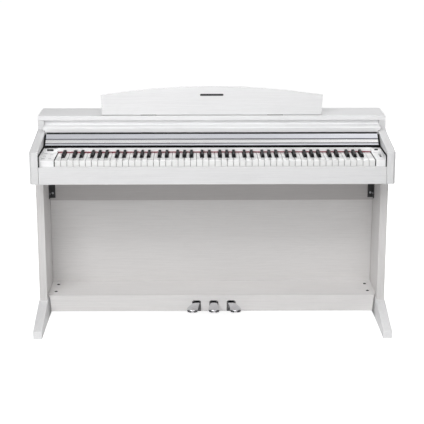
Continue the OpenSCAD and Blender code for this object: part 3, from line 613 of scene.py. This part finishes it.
def add_pedal(node, side):
    """Cast and polished pedal: a level lever, then a tip that widens, falls and ends in a round nose."""
    joint = JOINTS[node + "_press"]
    pivot_x, pivot_y, _ = joint["pos_m"]
    low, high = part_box(node)
    board_y = low[1] + PEDAL_REACH
    lever_bottom = high[2] - 14 * MM
    heel_top = high[2] - 8 * MM
    rings = [pedal_section(pivot_x, high[1], PEDAL_NECK * 0.86, lever_bottom + MM, heel_top - MM, 0.0),
             pedal_section(pivot_x, high[1] - MM, PEDAL_NECK, lever_bottom, heel_top, 0.0),
             pedal_section(pivot_x, pivot_y + 9 * MM, PEDAL_NECK, lever_bottom, heel_top, 0.0),
             pedal_section(pivot_x, pivot_y + 7 * MM, PEDAL_NECK, lever_bottom, high[2], 0.0),
             pedal_section(pivot_x, (pivot_y + board_y) / 2, PEDAL_NECK, lever_bottom, high[2], 0.0)]
    for k in range(PEDAL_STEPS + 1):
        out = PEDAL_REACH * math.sin(math.pi / 2 * k / PEDAL_STEPS)
        flare = ease(out / (PEDAL_REACH - 22 * MM))
        round_end = max(0.0, (out - PEDAL_REACH + 14 * MM) / (14 * MM))
        nose = max(0.0, (out - PEDAL_REACH + 6 * MM) / (6 * MM))
        half = (PEDAL_NECK + (PEDAL_TIP - PEDAL_NECK) * flare) * math.sqrt(max(0.03, 1 - round_end ** 2))
        top = high[2] - 10 * MM * ease(out / PEDAL_REACH) - 3.5 * MM * quarter_round(nose)
        bottom = lever_bottom + (low[2] + MM - lever_bottom) * ease(out / (PEDAL_REACH * 0.9))
        bottom += 3 * MM * quarter_round(nose)
        x = pivot_x + side * PEDAL_SPLAY * flare
        rings.append(pedal_section(x, board_y - out, half, bottom, top, 1.6 * MM * flare))
    pedal = add_piece(node + ".cast", loft(node, rings), node, "nickel")
    nose_x = pivot_x + side * PEDAL_SPLAY
    # Faces turned down, except a strip at the middle of the nose, take dark steel: painted shade and painted
    # reflection of the dark below the chrome.
    paint_faces(pedal, "frame_steel", lambda f: f.normal.z < 0.25 and abs(f.center.x - nose_x) > 6 * MM)
    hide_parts(node)


def slot_path():
    """(x, z, outward x, outward z) up one side of a pedal slot, over its top and down the other side."""
    board_low, board_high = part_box("pedal_front_board")
    slot_top = board_high[2] - SLOT_BELOW_TOP
    path = [(-SLOT_HALF, board_low[2] + 0.5 * MM, -1, 0)]
    for k in range(9):
        a = math.radians(90 * k / 8)
        path.append((-SLOT_HALF + SLOT_RADIUS - SLOT_RADIUS * math.cos(a),
                     slot_top - SLOT_RADIUS + SLOT_RADIUS * math.sin(a), -math.cos(a), math.sin(a)))
    return path + [(-x, z, -nx, nz) for x, z, nx, nz in reversed(path)]


def add_slot_liner(name):
    """Black liner inside a pedal's slot, just proud of the board: a bezel, and painted shade for the dark rim
    of the slot.
    """
    board_low, board_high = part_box("pedal_front_board")
    front, back = board_low[1] - 0.6 * MM, board_high[1]
    centre = JOINTS[name + "_pedal_press"]["pos_m"][0]
    rings = [[(centre + x, front, z), (centre + x - nx * LINER_WALL, front, z - nz * LINER_WALL),
              (centre + x - nx * LINER_WALL, back, z - nz * LINER_WALL), (centre + x, back, z)]
             for x, z, nx, nz in slot_path()]
    liner = add_piece(name + "_slot_liner", loft("liner", rings), "root", "black_plastic")
    bevel(liner, 0.3 * MM, angle=50)


for side, name in ((-1, "left"), (0, "middle"), (1, "right")):
    add_slot_liner(name)
    add_pedal(name + "_pedal", side)


# ---- Screws, nuts and washers -----------------------------------------------

HEAD_HEIGHT = 2.4 * MM
WIDE_HEAD = 5.5 * MM
BACKWARD = (0, 1, 0)


def cross_head(radius, height, shank_radius, shank_length):
    """A domed screw head with a cross recess, and its shank, along +Z from the origin."""
    dome = [(0.0, height), (radius * 0.4, height * 0.97), (radius * 0.7, height * 0.83),
            (radius * 0.9, height * 0.55), (radius, height * 0.25), (radius, 0.0),
            (shank_radius, 0.0), (shank_radius, -shank_length), (0.0, -shank_length - shank_radius)]
    head = bpy.data.objects.new("head", revolve("head", dome, 32))
    arm, width, depth = radius * 0.55, radius * 0.17, height * 0.75
    cutter_mesh = bpy.data.meshes.new("recess")
    edit = bmesh.new()
    for turn in (0, 90):
        box = bmesh.ops.create_cube(edit, size=1.0)["verts"]
        for v in box:
            taper = 1.0 if v.co.z > 0 else 0.6
            v.co = (v.co.x * 2 * arm * taper, v.co.y * 2 * width, height + 0.2 * MM - depth * (0.5 - v.co.z))
        bmesh.ops.rotate(edit, verts=box, cent=(0, 0, 0), matrix=Matrix.Rotation(math.radians(turn), 3, "Z"))
    edit.to_mesh(cutter_mesh)
    edit.free()
    cutter = bpy.data.objects.new("recess", cutter_mesh)
    for obj in (head, cutter):
        bpy.context.scene.collection.objects.link(obj)
    cut = head.modifiers.new("recess", "BOOLEAN")
    cut.object = cutter
    cut.operation = "DIFFERENCE"
    cut.use_self = True
    apply_modifiers(head)
    mesh = head.data
    clean(mesh, 0.005 * MM)
    for obj in (head, cutter):
        bpy.data.objects.remove(obj)
    return mesh


def solids_of(node):
    """The corner points of each separate solid in a CAD node."""
    edit = bmesh.new()
    edit.from_mesh(frame["nodes"][node].data)
    bmesh.ops.remove_doubles(edit, verts=edit.verts, dist=0.01 * MM)
    seen, solids = set(), []
    for start in edit.verts:
        if start in seen:
            continue
        seen.add(start)
        todo, solid = [start], []
        while todo:
            vert = todo.pop()
            solid.append(vert.co.copy())
            others = [edge.other_vert(vert) for edge in vert.link_edges]
            todo += [other for other in others if other not in seen]
            seen.update(others)
        solids.append(solid)
    edit.free()
    return solids


def off_axis(point, middle, axis):
    """How far a point lies from the line through the middle along an axis."""
    offset = point - middle
    offset[axis] = 0.0
    return offset.length


def screw_places():
    """(matrix under the head, head radius) for each screw of the CAD node, read from its solids."""
    places = []
    for points in solids_of("screws"):
        low = Vector([min(p[i] for p in points) for i in range(3)])
        high = Vector([max(p[i] for p in points) for i in range(3)])
        size = high - low
        axis = max(range(3), key=lambda i: size[i])
        middle = (low + high) / 2
        rim = max(points, key=lambda p: off_axis(p, middle, axis))
        direction = Vector((0, 0, 0))
        direction[axis] = 1.0 if rim[axis] > middle[axis] else -1.0
        seat = middle.copy()
        seat[axis] = (high if direction[axis] > 0 else low)[axis] - direction[axis] * HEAD_HEIGHT
        places.append((facing(seat, direction), size[(axis + 1) % 3] / 2))
    return places


def add_screws():
    """Black washer-head screws in the shelf and zinc ones in the brackets."""
    places = screw_places()
    wide = [m for m, radius in places if radius > WIDE_HEAD]
    small = [m for m, radius in places if radius <= WIDE_HEAD]
    shelf_screw = cross_head(6.5 * MM, HEAD_HEIGHT, 2 * MM, 14 * MM)
    bracket_screw = cross_head(4.6 * MM, HEAD_HEIGHT, 2 * MM, 14 * MM)
    shelf = place_copies("shelf_screws", shelf_screw, wide, "root", "black_steel")
    bracket = place_copies("bracket_screws", bracket_screw, small, "root", "zinc")
    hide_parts("screws")
    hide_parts("screws")


def middle_height(node):
    """The height of a node's middle."""
    low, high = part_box(node)
    return (low[2] + high[2]) / 2


def screw_rows(node, count, margin, heights):
    """Seats on the back of a board: evenly spaced from margin to margin, at each height."""
    low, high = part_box(node)
    span = high[0] - low[0] - 2 * margin
    return [facing((low[0] + margin + span * k / (count - 1), high[1], z), BACKWARD)
            for k in range(count) for z in heights]


def add_back_screws():
    """Small zinc screws that hold the cabinet back and the back panel."""
    low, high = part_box("cabinet_back")
    seats = screw_rows("cabinet_back", 8, 45 * MM, (low[2] + 12 * MM, high[2] - 14 * MM))
    seats += screw_rows("back_panel", 7, 60 * MM, (middle_height("upper_rail"), middle_height("pedal_shelf")))
    back_screw = cross_head(4.0 * MM, 1.6 * MM, 1.8 * MM, 10 * MM)
    place_copies("back_screws", back_screw, seats, "root", "zinc")


def add_socket_hardware():
    """A washer and a hexagon nut round each headphone socket, a collar and a pin in the power inlet."""
    radius = 3.3 * MM
    washer = revolve("washer", [(radius, 0), (7.4 * MM, 0), (7.4 * MM, 0.7 * MM), (radius, 0.7 * MM)])
    nut = revolve("nut", [(radius, 0.7 * MM), (6.6 * MM, 0.7 * MM), (6.6 * MM, 2.2 * MM),
                          (6.1 * MM, 2.6 * MM), (radius, 2.6 * MM)], 6)
    names = ("phone_socket_left", "phone_socket_right")
    sockets = [facing(MOUNTS[name]["pos_m"], BACKWARD) for name in names]
    place_copies("socket_washers", washer, sockets, "root", "zinc")
    nuts = place_copies("socket_nuts", nut, sockets, "root", "zinc")
    bevel(nuts, 0.2 * MM)
    inlet = [facing(MOUNTS["power_inlet"]["pos_m"], BACKWARD)]
    collar = revolve("collar", [(3.1 * MM, 0), (5.6 * MM, 0), (5.4 * MM, 1.4 * MM), (3.6 * MM, 1.4 * MM),
                                (3.1 * MM, 0.8 * MM)])
    place_copies("power_inlet_collar", collar, inlet, "root", "black_plastic")
    pin = revolve("pin", [(0.0, -14 * MM), (1.0 * MM, -14 * MM), (1.0 * MM, -3 * MM), (0.6 * MM, -2.2 * MM),
                          (0.0, -2 * MM)], 24)
    place_copies("power_inlet_pin", pin, inlet, "root", "zinc")


add_screws()
add_back_screws()
add_socket_hardware()


# ---- Trim -------------------------------------------------------------------

REST_LEAN = math.radians(15)
REST_FACE = 16 * MM
PLATE_HEIGHT = 73 * MM


def add_name_plate():
    """Plain dark inlay plate on the front of the music rest."""
    upward = Vector((0, math.sin(REST_LEAN), math.cos(REST_LEAN)))
    outward = Vector((0, -math.cos(REST_LEAN), math.sin(REST_LEAN)))
    pivot = Vector(JOINTS["music_rest_fold"]["pos_m"])
    centre = Vector((0, pivot.y, pivot.z)) + outward * REST_FACE + upward * PLATE_HEIGHT
    half_long, half_tall = 47 * MM, 4 * MM

    def inset(x, z, scale):
        """A point of the rim, moved in; at scale 0 it is close to the plate's middle line."""
        if scale == 0:
            return x * 0.9, z * 0.001
        return x - (1 - scale) * math.copysign(half_tall, x), z * scale

    rim = []
    for end in (1, -1):
        for k in range(13):
            a = math.radians(-90 + 180 * k / 12)
            reach = half_long - half_tall + half_tall * math.cos(a)
            rim.append((end * reach, end * half_tall * math.sin(a)))
    levels = ((1.0, -0.4), (1.0, 0.5), (0.94, 1.0), (0.8, 1.0), (0.74, 0.7), (0.0, 0.7))
    rings = []
    for scale, height in levels:
        points = [inset(x, z, scale) for x, z in rim]
        rings.append([centre + Vector((x, 0, 0)) + upward * z + outward * height * MM for x, z in points])
    add_piece("name_plate", loft("name_plate", rings), "rest", "black_steel")


def add_slider_frame():
    """Thin frame round the volume slider's slot."""
    block_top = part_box("volume_knob")[1][2] - 5.4 * MM
    x, y, _ = [sum(pair) / 2 for pair in zip(*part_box("volume_knob"))]
    inner, outer = (1.7 * MM, 27.4 * MM), (3.4 * MM, 29.2 * MM)
    corners = ((-1, -1), (1, -1), (1, 1), (-1, 1))
    rings = [[(x + sx * w, y + sy * d, block_top + z) for (w, d), z in
              ((outer, -0.2 * MM), (outer, 0.15 * MM), (inner, 0.25 * MM), (inner, -0.2 * MM))]
             for sx, sy in corners]
    add_piece("slider_frame", loft("slider_frame", rings, closed_path=True), "root",
              "black_plastic", smooth=False)


add_name_plate()
add_slider_frame()


# ---- Camera, lights and floor -----------------------------------------------

CAMERA_PLACE = (-0.052, -4.950, 1.705)
CAMERA_DOWN = 15.3
CAMERA_TURN = 0.6
FLOOR_HALF = 30.0
FLOOR_GAP = 0.2 * MM

# Name, power in watts, place, target, width and height
SOFTBOXES = (
    ("key_softbox", 74, (-1.9, -3.3, 2.7), (0, 0, 0.6), (2.4, 2.0)),
    ("fill_softbox", 13.5, (1.9, -3.0, 2.4), (0, 0, 0.6), (2.0, 2.0)),
    ("front_softbox", 24, (0, -1.7, 2.3), (0, 0.1, 0.8), (2.6, 0.9)),
    ("low_softbox", 18, (0, -4.2, 1.2), (0, 0, 0.7), (3.0, 0.8)),
    ("top_softbox", 11, (0, -0.25, 2.7), (0, -0.25, 0), (2.8, 1.8)),
    ("rear_softbox", 36, (0.6, 1.6, 2.8), (0, 0.1, 0.7), (2.6, 1.4)),
    ("back_softbox", 34, (0.5, 4.2, 0.5), (0, 0.2, 0.5), (3.0, 0.5)),
    ("left_softbox", 15, (-4.2, 0.6, 0.4), (0, 0.1, 0.4), (1.6, 0.5)),
    ("right_softbox", 15, (4.2, 0.6, 0.4), (0, 0.1, 0.4), (1.6, 0.5)),
)


def add_softbox(name, watts, place, target, size):
    """A rectangular light of that width and height, turned to its target."""
    light = bpy.data.lights.new(name, "AREA")
    light.energy = watts
    light.shape = "RECTANGLE"
    light.size, light.size_y = size
    obj = bpy.data.objects.new(name, light)
    obj.location = place
    obj.rotation_euler = (Vector(target) - Vector(place)).to_track_quat("-Z", "Y").to_euler()
    bpy.context.scene.collection.objects.link(obj)


def add_camera():
    """Long lens from the front, a little left of centre, looking 15 degrees down."""
    camera = bpy.data.cameras.new("camera")
    camera.sensor_width = 36.0
    camera.lens = 108.8
    camera.shift_y = 0.05005
    obj = bpy.data.objects.new("camera", camera)
    obj.location = CAMERA_PLACE
    obj.rotation_euler = (math.radians(90 - CAMERA_DOWN), 0, math.radians(-CAMERA_TURN))
    bpy.context.scene.collection.objects.link(obj)
    bpy.context.scene.camera = obj


def add_floor():
    """A plain pale floor, a hair below the feet; only the camera sees it glow, so it lights no piece."""
    corners = [(x * FLOOR_HALF, y * FLOOR_HALF, -FLOOR_GAP) for x, y in ((-1, -1), (1, -1), (1, 1), (-1, 1))]
    mesh = bpy.data.meshes.new("floor")
    mesh.from_pydata(corners, [], [(0, 1, 2, 3)])
    s = Shader("floor", (0.9, 0.9, 0.9), 0.7)
    s.set(s.surface, {"Emission Color": (1, 1, 1, 1)})
    rays = s.node("ShaderNodeLightPath", {}).outputs
    distance = s.node("ShaderNodeVectorMath", {0: s.place}, operation="LENGTH").outputs["Value"]
    glow = s.math("MULTIPLY", rays["Is Camera Ray"], s.spread(distance, 0.9, 2.6, 0.88, 1.0))
    s.set(s.surface, {"Emission Strength": glow})
    drift = s.noise(s.place, scale=1.5, detail=2.0)
    s.finish(s.mix(drift, (0.89, 0.89, 0.89), (0.92, 0.92, 0.92)))
    mesh.materials.append(s.material)
    floor = bpy.data.objects.new("floor", mesh)
    bpy.context.scene.collection.objects.link(floor)


def add_world(ambient):
    """Weak ambient light; the camera sees white beyond the floor."""
    world = bpy.data.worlds.new("studio")
    world.use_nodes = True
    nodes, links = world.node_tree.nodes, world.node_tree.links
    background = nodes["Background"]
    background.inputs["Color"].default_value = (1.0, 1.0, 1.0, 1.0)
    rays = nodes.new("ShaderNodeLightPath")
    strength = nodes.new("ShaderNodeMapRange")
    links.new(rays.outputs["Is Camera Ray"], strength.inputs[0])
    strength.inputs[3].default_value = ambient
    strength.inputs[4].default_value = 1.0
    links.new(strength.outputs[0], background.inputs["Strength"])
    bpy.context.scene.world = world


bpy.context.scene.view_settings.view_transform = "Standard"
add_camera()
add_floor()
add_world(0.02)
for softbox in SOFTBOXES:
    add_softbox(*softbox)
